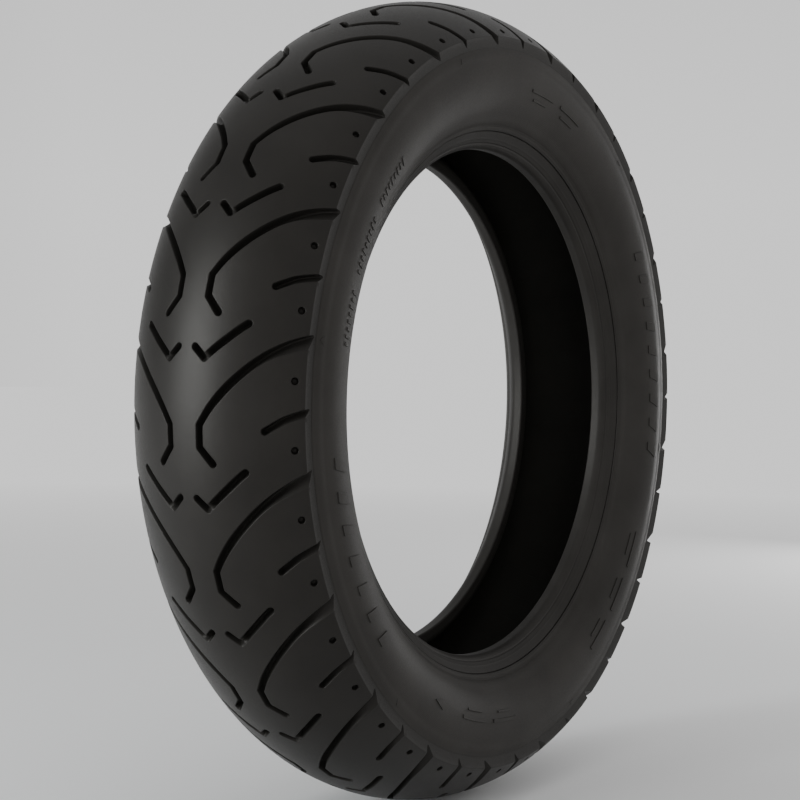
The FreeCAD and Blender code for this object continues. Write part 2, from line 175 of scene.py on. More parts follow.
def arc_points(start, end, radius, step):
    """Points from start to end on an arc; a positive radius bulges to the left of travel."""
    a, b = np.array(start, float), np.array(end, float)
    chord = b - a
    length = np.linalg.norm(chord)
    normal = np.array([chord[1], -chord[0]]) / length
    rise = math.sqrt(max(radius * radius - length * length / 4, 0))
    centre = (a + b) / 2 + normal * rise * (1 if radius > 0 else -1)
    first = math.atan2(*(a - centre)[::-1])
    last = math.atan2(*(b - centre)[::-1])
    sweep = (last - first + math.pi) % (2 * math.pi) - math.pi
    count = max(2, int(abs(sweep) * abs(radius) / step) + 1)
    t = first + sweep * np.linspace(0, 1, count + 1)
    return [(centre[0] + abs(radius) * math.cos(x), centre[1] + abs(radius) * math.sin(x))
            for x in t]


def line_points(start, end, step):
    count = max(1, int(math.dist(start, end) / step))
    return [tuple(np.array(start) * (1 - t) + np.array(end) * t)
            for t in np.linspace(0, 1, count + 1)]


def smooth_runs(profile, crease=33.0):
    """Splits a closed profile at its sharp corners, so that each run can be shaded smoothly."""
    p = np.array(profile)
    count = len(p)
    ahead = unit(np.roll(p, -1, axis=0) - p)
    behind = np.roll(ahead, 1, axis=0)
    turn = np.degrees(np.arccos(np.clip(np.sum(ahead * behind, axis=1), -1, 1)))
    sharp = [i for i in range(count) if turn[i] > crease] or [0]
    runs = []
    for k, first in enumerate(sharp):
        last = sharp[(k + 1) % len(sharp)]
        last += count if last <= first else 0
        runs.append([i % count for i in range(first, last + 1)])
    return p, runs


def revolve(shape, profile, side, segments):
    """Turns a closed (across, radius) profile round the spin axis."""
    p, runs = smooth_runs(profile)
    area = 0.5 * np.sum(p[:, 0] * np.roll(p[:, 1], -1) - np.roll(p[:, 0], -1) * p[:, 1])
    angles = np.linspace(0, 2 * math.pi, segments, endpoint=False)
    for run in runs:
        verts = spin(p[None, run, 0] * side, p[None, run, 1], angles[:, None])
        faces = grid_faces(segments, len(run), True, False, flip=(area * side > 0))
        shape.add(verts.reshape(-1, 3), faces)


# ---------------------------------------------------------------- tread sheet

EDGE_LEAN = math.atan2(EDGE[0], EDGE[1] - CROWN_C)
EDGE_ARC = CROWN_R * EDGE_LEAN
WALL_LENGTH = math.dist(EDGE, FOOT)
WALL_DIR = (np.array(FOOT) - np.array(EDGE)) / WALL_LENGTH
CORNER = 0.55


def sheet_profile(s):
    """Section point and normal at a distance s over the tread and on down the shoulder wall."""
    s = np.asarray(s, float)
    lean = np.minimum(s, EDGE_ARC) / CROWN_R
    y = CROWN_R * np.sin(lean)
    r = CROWN_C + CROWN_R * np.cos(lean)
    n = np.stack([np.sin(lean), np.cos(lean)], -1)
    down = np.maximum(s - EDGE_ARC, 0)
    y = y + WALL_DIR[0] * down
    r = r + WALL_DIR[1] * down
    wall_n = np.array([-WALL_DIR[1], WALL_DIR[0]])
    n = np.where((s > EDGE_ARC)[..., None], wall_n, n)
    near = np.clip((s - EDGE_ARC) / CORNER, -1, 1)
    t = (near + 1) / 2
    edge_n = np.array([math.sin(EDGE_LEAN), math.cos(EDGE_LEAN)])
    blend = (np.abs(near) < 1)[..., None]
    mixed = unit(edge_n * (1 - t)[..., None] + wall_n * t[..., None])
    n = np.where(blend, mixed, n)
    start = np.array(EDGE) + np.array([-math.cos(EDGE_LEAN), math.sin(EDGE_LEAN)]) * CORNER
    end = np.array(EDGE) + WALL_DIR * CORNER
    curve = (start * ((1 - t) ** 2)[..., None] + np.array(EDGE) * (2 * t * (1 - t))[..., None]
             + end * (t ** 2)[..., None])
    y = np.where(blend[..., 0], curve[..., 0], y)
    r = np.where(blend[..., 0], curve[..., 1], r)
    return y, r, n


def on_sheet(s, v):
    y, r, n = sheet_profile(s)
    angle = 2 * math.pi * np.asarray(v) / PITCH / PITCHES
    normal = np.stack([-n[..., 1] * np.sin(angle), n[..., 0], n[..., 1] * np.cos(angle)], -1)
    return spin(y, r, angle), normal


def carved(u, v, depth):
    """Point at an arc u and turn v, sunk below the tread."""
    lean = u / CROWN_R
    y = (CROWN_R - depth) * np.sin(lean)
    r = CROWN_C + (CROWN_R - depth) * np.cos(lean)
    return spin(y, r, 2 * math.pi * v / PITCH / PITCHES)


def wall_crossing(depth):
    """Arc coordinate, and distance down the wall, where a depth below the tread meets it."""
    low, high = 0.0, WALL_LENGTH
    for _ in range(40):
        mid = (low + high) / 2
        p = np.array(EDGE) + WALL_DIR * mid
        if CROWN_R - math.hypot(p[0], p[1] - CROWN_C) < depth:
            low = mid
        else:
            high = mid
    p = np.array(EDGE) + WALL_DIR * low
    return CROWN_R * math.atan2(p[0], p[1] - CROWN_C), low


def local_scale(u):
    return (CROWN_C + CROWN_R * math.cos(u / CROWN_R)) / OUTER_R


def spline(points, step):
    """Smooth curve through points, as evenly spaced points."""
    p = np.array(points, float)
    p = np.vstack([2 * p[0] - p[1], p, 2 * p[-1] - p[-2]])
    dense = []
    for i in range(1, len(p) - 2):
        for t in np.linspace(0, 1, 24, endpoint=False):
            a, b, c, d = p[i - 1], p[i], p[i + 1], p[i + 2]
            dense.append(0.5 * (2 * b + (c - a) * t + (2 * a - 5 * b + 4 * c - d) * t * t
                                + (3 * b - a - 3 * c + d) * t ** 3))
    dense.append(p[-2])
    return resample(np.array(dense), step)


def resample(p, step):
    lengths = np.concatenate([[0], np.cumsum(np.linalg.norm(np.diff(p, axis=0), axis=1))])
    count = max(2, int(round(lengths[-1] / step)) + 1)
    at = np.linspace(0, lengths[-1], count)
    return np.stack([np.interp(at, lengths, p[:, 0]), np.interp(at, lengths, p[:, 1])], -1)


def flat(points):
    return np.array([(u, t * PITCH) for u, t in points])


LOW, HIGH, END = range(3)


class Groove:
    """One groove: stations along its centre line, each with a side offset left and right."""

    def __init__(self, runs, is_open, depth_at, swell=0.0, flare=0.0):
        """swell: extra half width along the curve; flare: extra width of the lower side at the
        shoulder, where that side turns into a long ramp."""
        self.runs, self.is_open, self.depth_at = runs, is_open, depth_at
        self.swell, self.flare = swell, flare
        self.stations = self.make_stations()

    def make_stations(self):
        """(centre, vector to the side, LOW, HIGH or END) round the groove: out along one side,
        round the end, back along the other."""
        centres, left, right, tangents = [], [], [], []
        for run in self.runs:
            d = np.gradient(run, axis=0)
            scale = np.array([local_scale(u) for u in run[:, 0]])
            physical = unit(np.stack([d[:, 0], d[:, 1] * scale], -1))
            tangents.append(physical)
        for k, run in enumerate(self.runs):
            if k:
                self.corner(centres, left, right, run[0], tangents[k - 1][-1], tangents[k][0])
            inner = slice(1 if k else 0, len(run) - 1 if k < len(self.runs) - 1 else len(run))
            for c, t in zip(run[inner], tangents[k][inner]):
                centres.append(c)
                left.append(np.array([-t[1], t[0]]))
                right.append(np.array([t[1], -t[0]]))
        stations = [(c, n, LOW) for c, n in self.tuck(centres, left)]
        stations += self.cap(centres[-1], left[-1])
        stations += [(c, n, HIGH) for c, n in self.tuck(centres, right)[::-1]]
        if not self.is_open:
            stations += self.cap(centres[0], right[0])
        return stations

    def tuck(self, middle, offsets):
        """Pulls the stations just inside a sharp bend onto its mitre, so the side can't loop."""
        centres, tucked = list(middle), list(offsets)
        for i, n in enumerate(offsets):
            stretch = float(np.linalg.norm(n))
            if stretch < 1.01:
                continue
            reach = (GROOVE_HALF + LIP) * math.sqrt(stretch * stretch - 1) + 0.2
            for k, c in enumerate(middle):
                if 0 < math.dist(c, middle[i]) < reach and np.linalg.norm(offsets[k]) < 1.01:
                    centres[k], tucked[k] = middle[i], n
        return list(zip(centres, tucked))

    def corner(self, centres, left, right, c, t0, t1):
        """A bend: mitred inside, rounded outside."""
        turn = math.atan2(t0[0] * t1[1] - t0[1] * t1[0], float(t0 @ t1))
        first = math.atan2(t0[1], t0[0])
        bisector = first + turn / 2
        for share in np.linspace(0, 1, 5):
            centres.append(c)
            angle = first + turn * share
            outer = np.array([-math.sin(angle), math.cos(angle)])
            mitre = np.array([-math.sin(bisector), math.cos(bisector)]) / math.cos(turn / 2)
            left.append(mitre if turn > 0 else outer)
            right.append(-outer if turn > 0 else -mitre)

    def cap(self, c, n):
        """The half round that closes a groove."""
        first = math.atan2(n[1], n[0])
        return [(c, np.array([math.cos(first - a), math.sin(first - a)]), END)
                for a in np.linspace(0, math.pi, 8)[1:-1]]

    def section(self, c, part):
        """Six (reach from the centre line, depth) pairs from the surface down to the floor."""
        lean = ramp(c[0], LEAN_FROM, LEAN_TO) if self.is_open and part != END else 0.0
        half = GROOVE_HALF + self.swell * ramp(c[0], 14, 30) * (part != END)
        depth = self.depth_at(c)
        low = part == LOW
        half += self.flare * lean if low else 0.0
        lip = [(half + LIP, 0.0), (half + LIP_EDGE[0], LIP_EDGE[1]),
               (half - LIP_FOOT[0], LIP_FOOT[1])]
        flat_floor = [(1.7, depth - 1.5), (0.9, depth - 0.6), (0.0, depth)]
        if low:
            slope = (depth - LIP_FOOT[1]) / (half - LIP_FOOT[0] + SPINE_SHIFT)
            leant = [(x, depth - slope * (x + SPINE_SHIFT)) for x in (2.3, 0.3, -SPINE_SHIFT)]
        else:
            leant = [(half - 0.3, depth - 1.2), (1.9, depth - 0.3), (SPINE_SHIFT, depth)]
        return lip + [tuple(np.array(p) * (1 - lean) + np.array(q) * lean)
                      for p, q in zip(flat_floor, leant)]

    def loops(self):
        """Rings of (u, v, depth) from the surface down to the floor, then the spine."""
        rings = [[] for _ in range(6)]
        for c, n, part in self.stations:
            scale = local_scale(c[0])
            for ring, (reach, depth) in zip(rings, self.section(c, part)):
                ring.append((c[0] + n[0] * reach, c[1] + n[1] * reach / scale, depth))
        return [np.array(r) for r in rings]


def clip_to_wall(ring):
    """Moves the stations beyond the shoulder wall to where the groove breaks through it."""
    ring = ring.copy()
    kinds = np.zeros(len(ring), int)
    limits = np.array([wall_crossing(d)[0] for d in ring[:, 2]])
    beyond = ring[:, 0] - limits
    for order in (range(len(ring)), range(len(ring) - 1, -1, -1)):
        order = list(order)
        last = next(i for i, k in enumerate(order) if beyond[k] < 0)
        a, b = order[last - 1], order[last]
        t = beyond[a] / (beyond[a] - beyond[b])
        point = ring[a] * (1 - t) + ring[b] * t
        point[0] = wall_crossing(point[2])[0]
        for k in order[:last]:
            ring[k] = point
            kinds[k] = 1
    return ring, kinds


def groove_parts(groove):
    """Vertices (3D) and faces of a groove's walls and floor, its normals, and its outline on
    the sheet as (s, v) points."""
    rings = groove.loops()
    if groove.is_open:
        clipped = [clip_to_wall(r) for r in rings]
        rings = [c[0] for c in clipped]
        flags = [c[1] for c in clipped]
    else:
        flags = [np.zeros(len(r), int) for r in rings]
    count = len(rings[0])
    points = []
    for ring, kinds in zip(rings, flags):
        p = carved(ring[:, 0], ring[:, 1], ring[:, 2])
        for i in np.nonzero(kinds)[0]:
            p[i] = on_sheet(EDGE_ARC + wall_crossing(ring[i, 2])[1], ring[i, 1])[0]
        points.append(p)
    faces = []
    limit = count - 1 if groove.is_open else count
    for k in range(len(rings) - 1):
        for j in range(limit):
            l = (j + 1) % count
            faces.append((k * count + j, (k + 1) * count + j, (k + 1) * count + l, k * count + l))
    verts = np.vstack(points)
    keys, index, faces = weld(verts, faces)
    normals = smooth_normals(keys, faces)
    for j in range(count):
        if not flags[0][j]:
            normals[index[j]] = on_sheet(rings[0][j, 0], rings[0][j, 1])[1]
    outline = groove_outline(rings, flags, count, groove.is_open)
    return keys, faces, normals, outline


def groove_outline(rings, flags, count, is_open):
    if not is_open:
        return [(u, v) for u, v, _ in rings[0]]
    top = [j for j in range(count) if not flags[0][j]]
    first, last = top[0] - 1, top[-1] + 1
    path = [(EDGE_ARC, rings[0][first, 1])]
    path += [(rings[0][j, 0], rings[0][j, 1]) for j in top]
    path += [(EDGE_ARC, rings[0][last, 1])]
    down = [(EDGE_ARC + wall_crossing(r[-1, 2])[1], r[-1, 1]) for r in rings[1:]]
    up = [(EDGE_ARC + wall_crossing(r[0, 2])[1], r[0, 1]) for r in rings[1:-1]][::-1]
    return path + down + up


def weld(verts, faces):
    """Merges equal points and drops the faces that collapse."""
    keys, index, kept = {}, [], []
    for p in verts:
        key = tuple(np.round(p, 4))
        if key not in keys:
            keys[key] = len(kept)
            kept.append(p)
        index.append(keys[key])
    out = []
    for f in faces:
        g = []
        for i in f:
            if index[i] not in g:
                g.append(index[i])
        if len(g) > 2:
            out.append(tuple(g))
    return np.array(kept), index, out


def dimple_parts(u, t):
    """A small round hole with a soft bottom."""
    v, scale, count = t * PITCH, local_scale(u), DIMPLE_SIDES
    verts = []
    for radius, depth in DIMPLE_LEVELS:
        for a in np.linspace(0, 2 * math.pi, count, endpoint=False):
            verts.append(carved(u + radius * math.cos(a), v + radius * math.sin(a) / scale, depth))
    faces = []
    for k in range(len(DIMPLE_LEVELS) - 1):
        for j in range(count):
            l = (j + 1) % count
            faces.append((k * count + j, k * count + l, (k + 1) * count + l, (k + 1) * count + j))
    keys, index, faces = weld(np.array(verts), faces)
    normals = smooth_normals(keys, faces)
    ring = [(u + DIMPLE_R * math.cos(a), v + DIMPLE_R * math.sin(a) / scale)
            for a in np.linspace(0, 2 * math.pi, count, endpoint=False)]
    for j in range(count):
        normals[index[j]] = on_sheet(*ring[j])[1]
    return keys, faces, normals, ring


def ramp(x, a, b):
    t = min(max((x - a) / (b - a), 0.0), 1.0)
    return t * t * (3 - 2 * t)


def long_depth(c):
    return GROOVE_DEPTH + (LONG_SHOULDER_DEPTH - GROOVE_DEPTH) * ramp(c[0], RISE_FROM, RISE_TO)


def short_depth(c):
    return GROOVE_DEPTH + (SHORT_SHOULDER_DEPTH - GROOVE_DEPTH) * ramp(c[0], RISE_FROM, RISE_TO)


def check_depth(c):
    """Full depth, except for a raised tie bar just past the elbow."""
    elbow = flat([CHECK_ELBOW])[0]
    along = math.dist(c, elbow) if c[0] >= elbow[0] else 99.0
    bar = 1 - ramp(abs(along - 2.2), 1.2, 4.0)
    return GROOVE_DEPTH - TIE_BAR * bar


def make_grooves():
    long_run = spline(flat(LONG_LINE), 2.6)
    neck, end = flat([LONG_NECK])[0], flat([LONG_END])[0]
    start = long_run[-1]
    long_groove = Groove([long_run, resample(np.array([start, neck]), 3.2),
                          resample(np.array([neck, end]), 2.6)], True, long_depth, 0.35, 3.0)
    check = Groove([resample(flat([CHECK_START, CHECK_ELBOW]), 2.2),
                    spline(flat(CHECK_LINE), 1.5)], False, check_depth, 0.15)
    short = Groove([spline(flat(SHORT_LINE), 2.4)], True, short_depth)
    return [long_groove, check, short]


def seam_at(s):
    return (SEAM_IN + (SEAM_OUT - SEAM_IN) * ramp(s, SEAM_FROM, SEAM_TO)) * PITCH


def inside(polygon, points):
    poly = np.array(polygon)
    x, y = points[:, 0], points[:, 1]
    hit = np.zeros(len(points), bool)
    for (x0, y0), (x1, y1) in zip(poly, np.roll(poly, -1, axis=0)):
        if y0 == y1:
            continue
        cross = ((y0 > y) != (y1 > y)) & (x < (x1 - x0) * (y - y0) / (y1 - y0) + x0)
        hit ^= cross
    return hit


def gap_to(polygon, points):
    poly = np.array(polygon)
    best = np.full(len(points), 1e9)
    for a, b in zip(poly, np.roll(poly, -1, axis=0)):
        d = b - a
        t = np.clip(((points - a) @ d) / max(d @ d, 1e-12), 0, 1)
        best = np.minimum(best, np.linalg.norm(points - a - t[:, None] * d, axis=1))
    return best


def sheet_rows():
    rows = list(np.linspace(0, EDGE_ARC - 2.6, 21))
    rows += [EDGE_ARC + CORNER * k for k in (-1, -0.5, 0, 0.5, 1)]
    rows += list(EDGE_ARC + np.array([3.0, 6.0, WALL_LENGTH - 0.35, WALL_LENGTH]))
    return rows


def tread_sheet(outlines):
    """Triangulates one pitch of half the tread round its grooves: (s, v) points and faces."""
    rows = sheet_rows()
    around = int(round(PITCH / STEP))
    points, edges = [], []
    border = [(s, seam_at(s)) for s in rows]
    side_v = np.linspace(0, PITCH, around + 1)
    border += [(rows[-1], seam_at(rows[-1]) + v) for v in side_v[1:-1]]
    border += [(s, seam_at(s) + PITCH) for s in rows[::-1]]
    border += [(0.0, seam_at(0.0) + v) for v in side_v[1:-1][::-1]]
    for ring in [border] + outlines:
        base = len(points)
        points += [tuple(p) for p in ring]
        edges += [(base + i, base + (i + 1) % len(ring)) for i in range(len(ring))]
    lattice = np.array([(s, seam_at(s) + v + (0.5 * STEP if k % 2 and s < EDGE_ARC - 3 else 0))
                        for k, s in enumerate(rows[1:-1]) for v in side_v[1:-1]])
    keep = np.ones(len(lattice), bool)
    for ring in outlines:
        keep &= ~inside(ring, lattice) & (gap_to(ring, lattice) > CREASE_GAP)
    keep &= lattice[:, 1] < np.array([seam_at(s) for s in lattice[:, 0]]) + PITCH - CREASE_GAP
    points += [tuple(p) for p in lattice[keep]]
    result = delaunay_2d_cdt(points, edges, [], 1, 1e-7)
    out = np.array([tuple(p) for p in result[0]])
    tris = np.array([f for f in result[2]])
    centre = out[tris].mean(axis=1)
    good = np.ones(len(tris), bool)
    for ring in outlines:
        good &= ~inside(ring, centre)
    return out, [tuple(t) for t in tris[good]]


def turn_y(verts, angle):
    c, s = math.cos(angle), math.sin(angle)
    return np.stack([verts[:, 0] * c - verts[:, 2] * s, verts[:, 1],
                     verts[:, 0] * s + verts[:, 2] * c], -1)


def build_tread():
    parts = [groove_parts(groove) for groove in make_grooves()]
    parts += [dimple_parts(u, t) for u, t in DIMPLES]
    sheet, tris = tread_sheet([part[3] for part in parts])
    sheet_verts, sheet_normals = on_sheet(sheet[:, 0], sheet[:, 1])
    parts = [(sheet_verts, tris, sheet_normals)] + [part[:3] for part in parts]
    shape = Shape()
    flip = np.array([1, -1, 1])
    for turn in range(PITCHES):
        angle = 2 * math.pi * turn / PITCHES
        for side in (LEFT, RIGHT):
            for verts, faces, normals in parts:
                if side == RIGHT:
                    verts, normals = verts * flip, normals * flip
                    faces = [f[::-1] for f in faces]
                shape.add(turn_y(verts, angle), faces, turn_y(normals, angle))
    close_tread(shape)
    return shape


def close_tread(shape):
    """The hidden underside of the cap; it meets the foot of the tread with its own spacing."""
    under = [FOOT, CAP_HEEL] + arc_points(CAP_JOINT, (-CAP_JOINT[0], CAP_JOINT[1]), -CAP_IN, 12)
    under += [(-CAP_HEEL[0], CAP_HEEL[1]), (-FOOT[0], FOOT[1])]
    p = np.array(under)
    angles = np.linspace(0, 2 * math.pi, UNDER_TURNS, endpoint=False)
    verts = spin(p[None, :, 0], p[None, :, 1], angles[:, None])
    shape.add(verts.reshape(-1, 3), grid_faces(len(angles), len(p), True, False, flip=True))


# ---------------------------------------------------------------- sidewalls, beads, liner

MARK_TOP, MARK_FOOT = 268.0, 228.0
MARK_SINK = 0.8


def sink(r):
    """How far the lettering band lies below the plain wall, so that marks stand up to it."""
    return MARK_SINK * ramp(r, MARK_FOOT - 6, MARK_FOOT) * (1 - ramp(r, MARK_TOP, MARK_TOP + 6))


def wall_centre():
    a, b = np.array(FOOT), np.array(WALL_FOOT)
    chord = b - a
    normal = unit([-chord[1], chord[0]])
    rise = math.sqrt(WALL_ARC ** 2 - (np.linalg.norm(chord) / 2) ** 2)
    options = [(a + b) / 2 + normal * rise, (a + b) / 2 - normal * rise]
    return min(options, key=lambda c: c[0])


WALL_CENTRE = wall_centre()


def wall_point(r, lift=0.0):
    """(across, radius) on the sidewall at a radius, raised above the sunk band."""
    y = WALL_CENTRE[0] + math.sqrt(WALL_ARC ** 2 - (r - WALL_CENTRE[1]) ** 2)
    n = unit([y - WALL_CENTRE[0], r - WALL_CENTRE[1]])
    move = lift - sink(r)
    return y + n[0] * move, r + n[1] * move


def sidewall_profile():
    outer = [FOOT, (73.55, 277.9)]
    outer += [wall_point(r) for r in np.linspace(277.0, 221.2, 52)]
    outer += [(59.75, 220.9), (59.35, 220.35), (58.75, 219.75), (58.3, 219.3), (58.05, 218.75)]
    outer += [FACE_TOP]
    inner = [(53.301, 218.225), (56.551, 223.854), (55.599, 224.404), (57.167, 227.122)]
    inner += [(62.107, 231.546)]
    inner += arc_points(inner[-1], (68.293, 275.145), -34.2, 4.0)[1:]
    return outer + inner


def patch(shape, side, corners, lift, cells):
    """Raised plain mark on the sidewall: a four-cornered panel of (radius, degrees)."""
    c = np.array(corners, float)
    rows, cols = cells[0] + 1, cells[1] + 1
    grid = []
    for a in np.linspace(0, 1, rows):
        for b in np.linspace(0, 1, cols):
            grid.append((1 - a) * (1 - b) * c[0] + (1 - a) * b * c[1]
                        + a * b * c[2] + a * (1 - b) * c[3])
    grid = np.array(grid)

    def surface(level):
        section = np.array([wall_point(r, level) for r in grid[:, 0]])
        turn = np.radians(grid[:, 1] - 90)
        return spin(section[:, 0] * side, section[:, 1], turn)

    top, foot = surface(lift), surface(-0.3)
    ring = [j for j in range(cols)] + [i * cols + cols - 1 for i in range(1, rows)]
    ring += [(rows - 1) * cols + j for j in range(cols - 2, -1, -1)]
    ring += [i * cols for i in range(rows - 2, 0, -1)]
    edge_top = top[ring]
    centre = top.mean(axis=0)
    faces = grid_faces(rows, cols)
    n = len(ring)
    skirt = [(i, (i + 1) % n, n + (i + 1) % n, n + i) for i in range(n)]
    out = np.array([0, side, 0])
    a, b, d = (top[k] for k in faces[0][:3])
    if np.cross(b - a, d - a) @ out < 0:
        faces = [f[::-1] for f in faces]
    skirt_verts = np.vstack([edge_top, foot[ring] + unit(edge_top - centre) * 0.3])
    shape.add(top, faces)
    p, q, w = (skirt_verts[k] for k in skirt[0][:3])
    if np.cross(q - p, w - p) @ (edge_top[0] - centre) < 0:
        skirt = [f[::-1] for f in skirt]
    shape.add(skirt_verts, skirt)


def arc_bar(shape, side, r, half, start, end, lift):
    """Raised ridge running round the wall between two angles."""
    steps = max(2, int(abs(end - start) / 2))
    patch(shape, side, [(r - half, start), (r - half, end), (r + half, end), (r + half, start)],
          lift, (1, steps))


def wall_marks(shape, side):
    """Plain moulded marks in place of writing: slanted bars, hatching, an arrow, wear ticks."""
    for centre, count in ((168.0, 9), (-26.0, 7)):
        for i in range(count):
            at = centre + (i - (count - 1) / 2) * 5.2
            patch(shape, side, [(246.0, at - .5), (246.0, at + 1.2), (259.0, at + 2.3),
                                (259.0, at + .6)], 0.72, (6, 2))
    for i in range(30):
        if i in (8, 9, 19, 20):
            continue
        at = 9.0 + i * 1.2
        reach = (2.6, 3.4, 2.2, 3.0)[i % 4]
        patch(shape, side, [(245.5 - reach, at), (245.5 - reach, at + .5), (245.5 + reach, at + .5),
                            (245.5 + reach, at)], 0.6, (3, 1))
    for low in (92.0, 103.0, -90.0, -79.0, 208.0, 219.0, 230.0):
        arc_bar(shape, side, 250.5, 1.3, low, low + 8.0, 0.7)
        arc_bar(shape, side, 243.5, 0.8, low + 1.0, low + 6.0, 0.7)
    head = -62.5
    for tail in (253.2, 244.8):
        patch(shape, side, [(tail, head - 1.2), (tail, head - 1.0), (249.2, head + 1.4),
                            (248.8, head + 1.4)], 0.7, (3, 1))
    for at in range(0, 360, 60):
        patch(shape, side, [(271.5, at + 8.0), (271.5, at + 9.4), (275.0, at + 8.8),
                            (275.0, at + 8.6)], 0.3, (2, 1))


def build_sidewall(side):
    shape = Shape()
    revolve(shape, sidewall_profile(), side, WALL_TURNS)
    wall_marks(shape, side)
    return shape


def face_point(height, lift=0.0):
    """Point up the face of the bead from the heel."""
    turn = math.radians(FACE_LEAN)
    reach = STRIP_REACH + lift
    return (CORE[0] + reach * math.cos(turn) + height * math.sin(turn),
            CORE[1] - reach * math.sin(turn) + height * math.cos(turn))


def strip_profile():
    """Toe, seat, heel and the ringed face of the bead, then the hidden inside."""
    out = [(TOE_Y + 0.6, CORE[1]), (TOE_Y, CORE[1]), (TOE_Y, 204.4), (36.25, 203.75),
           (36.55, 203.25), (37.0, 202.9), (37.6, SEAT_R), (CORE[0], SEAT_R)]
    out += arc_points((CORE[0], SEAT_R), face_point(0.0), -STRIP_REACH, 0.7)[1:]
    for height, width, lift in ((0.6, 2.2, -0.42), (4.6, 2.6, 0.16), (12.6, 1.2, -0.9)):
        out.append(face_point(height - 0.15))
        for t in np.linspace(0, 1, 7):
            out.append(face_point(height + width * t, lift * math.sin(math.pi * t) ** 2))
        out.append(face_point(height + width + 0.15))
    out += [FACE_TOP, (53.301, 218.225), (52.051, 216.06), (52.571, 215.76), (47.571, 207.1)]
    for t in np.linspace(0, 1, 8)[1:]:
        turn = math.radians(-30.0 - 150.0 * t)
        out.append((CORE[0] + 5.8 * math.cos(turn), CORE[1] + 5.8 * math.sin(turn)))
    return out[:-1]


def build_strip(side):
    shape = Shape()
    revolve(shape, strip_profile(), side, BEAD_TURNS)
    return shape


LINER_RIDGES = 72


def liner_half(crown, flank, run, toe, crown_r, flank_r, toe_r):
    """Half of a face of the liner, from the middle of the crown to the toe."""
    points = arc_points((0.0, 222.2 + crown_r), crown, crown_r, 5.0)
    points += arc_points(crown, flank, flank_r, 3.0)[1:]
    points += line_points(flank, run, 8.0)[1:]
    points += arc_points(run, toe, -toe_r, 1.0)[1:]
    return points


def liner_profiles():
    outer = liner_half((63.238, 278.247), (60.64, 233.185), (39.078, 213.873), (37.348, 210.0),
                       84.5, 32.0, 5.2)
    inner = liner_half((62.34, 277.451), (59.839, 234.079), (38.278, 214.767), (TOE_Y, 210.0),
                       83.3, 30.8, 6.4)
    return outer, inner


def across_both(points):
    return [(-y, r) for y, r in points[::-1]] + points[1:]


def build_liner():
    """The airtight skin, with the faint cross ridges that the curing bladder leaves."""
    outer, inner = liner_profiles()
    shape = Shape()
    loop = across_both(outer) + across_both(inner)[::-1]
    revolve(shape, loop, 1.0, LINER_TURNS)
    full = np.array(across_both(inner))
    tangent = unit(np.gradient(full, axis=0))
    normal = np.stack([tangent[:, 1], -tangent[:, 0]], -1)
    if normal[len(full) // 2, 1] > 0:
        normal = -normal
    for i in range(LINER_RIDGES):
        turn = 2 * math.pi * i / LINER_RIDGES
        rows = []
        for width, lift in ((-0.9, -0.1), (-0.3, 0.10), (0.3, 0.10), (0.9, -0.1)):
            section = full + normal * lift
            rows.append(spin(section[:, 0], section[:, 1], turn + width / 300.0))
        verts = np.array(rows)
        shape.add(verts.reshape(-1, 3), grid_faces(4, len(full), flip=True))
    return shape


# ---------------------------------------------------------------- materials

GLOSS_LEVEL = 0.22
GLOSS_TINT = (1.0, 0.95, 0.90, 1)
DUST = 0.25
RING_PITCH = 0.0011

# The tread's colour is darkened by painted shade, and its finish turns matt, from one depth below
# the crown (mm) to the other, less far off the middle (m)
GROOVE_PAINTED_SHADE = (0.45, 0.45, 0.40, 1)
GROOVE_MATT = 0.45
DARK_FROM, DARK_FULL = 0.3, 2.4
FADE_FROM, FADE_TO = 0.040, 0.080

TREAD_COLOUR = (0.0122, 0.0113, 0.0102)
WALL_COLOUR = (0.0250, 0.0232, 0.0213)
BEAD_COLOUR = (0.0190, 0.0177, 0.0163)
LINER_COLOUR = (0.0150, 0.0148, 0.0122)


def link(tree, a, b):
    tree.links.new(a, b)


def node(tree, kind, **values):
    made = tree.nodes.new(kind)
    for key, value in values.items():
        if key in made.inputs.keys():
            made.inputs[key].default_value = value
        else:
            setattr(made, key, value)
    return made


def new_material(name):
    material = bpy.data.materials.new(name)
    material.use_nodes = True
    return material, material.node_tree, material.node_tree.nodes["Principled BSDF"]


